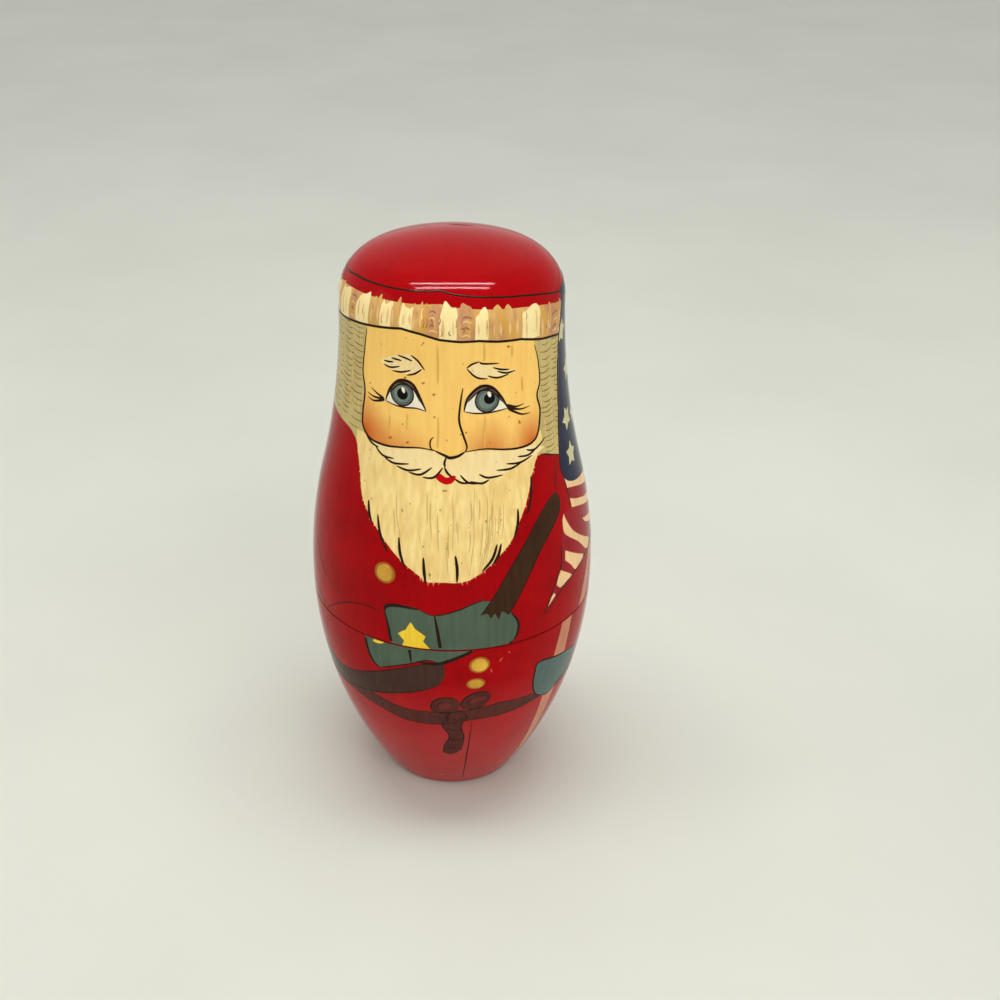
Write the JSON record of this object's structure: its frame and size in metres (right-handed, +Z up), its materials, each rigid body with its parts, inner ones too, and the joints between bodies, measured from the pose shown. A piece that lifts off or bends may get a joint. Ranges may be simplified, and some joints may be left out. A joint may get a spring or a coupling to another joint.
{
  "type": "matryoshka nesting doll",
  "caption": "Turned wooden nesting doll painted as a bearded old man in a red fur-trimmed coat; it parts at the waist and holds smaller dolls inside one another.",
  "frame": {"origin": "centre of the outer doll's flat base, on the surface that it stands on", "axes": "+Z up along the lathe axis, -Y towards the painted face, +X to the viewer's right"},
  "size_m": [0.074, 0.074, 0.152],
  "materials": {
    "painted_wood": "turned linden wood, hand-painted in red, cream and brown and lacquered outside, bare inside"
  },
  "bodies": {
    "outer_lower": {"outer_lower_half": "painted_wood"},
    "second_lower": {"second_lower_half": "painted_wood"},
    "third_lower": {"third_lower_half": "painted_wood"},
    "fourth_lower": {"fourth_lower_half": "painted_wood"},
    "smallest": {"smallest_doll": "painted_wood"},
    "fourth_upper": {"fourth_upper_half": "painted_wood"},
    "third_upper": {"third_upper_half": "painted_wood"},
    "second_upper": {"second_upper_half": "painted_wood"},
    "outer_upper": {"outer_upper_half": "painted_wood"}
  },
  "joints": [
    {"name": "second_doll_lift", "type": "slide", "parent": "outer_lower", "child": "second_lower", "axis": [0, 0, 1], "range_m": [0, 0.068]},
    {"name": "third_doll_lift", "type": "slide", "parent": "second_lower", "child": "third_lower", "axis": [0, 0, 1], "range_m": [0, 0.057]},
    {"name": "fourth_doll_lift", "type": "slide", "parent": "third_lower", "child": "fourth_lower", "axis": [0, 0, 1], "range_m": [0, 0.047]},
    {"name": "smallest_doll_lift", "type": "slide", "parent": "fourth_lower", "child": "smallest", "axis": [0, 0, 1], "range_m": [0, 0.038]},
    {"name": "fourth_cap_lift", "type": "slide", "parent": "smallest", "child": "fourth_upper", "axis": [0, 0, 1], "range_m": [0, 0.04]},
    {"name": "third_cap_lift", "type": "slide", "parent": "fourth_upper", "child": "third_upper", "axis": [0, 0, 1], "range_m": [0, 0.053]},
    {"name": "second_cap_lift", "type": "slide", "parent": "third_upper", "child": "second_upper", "axis": [0, 0, 1], "range_m": [0, 0.067]},
    {"name": "outer_cap_lift", "type": "slide", "parent": "second_upper", "child": "outer_upper", "axis": [0, 0, 1], "range_m": [0, 0.083]}
  ]
}
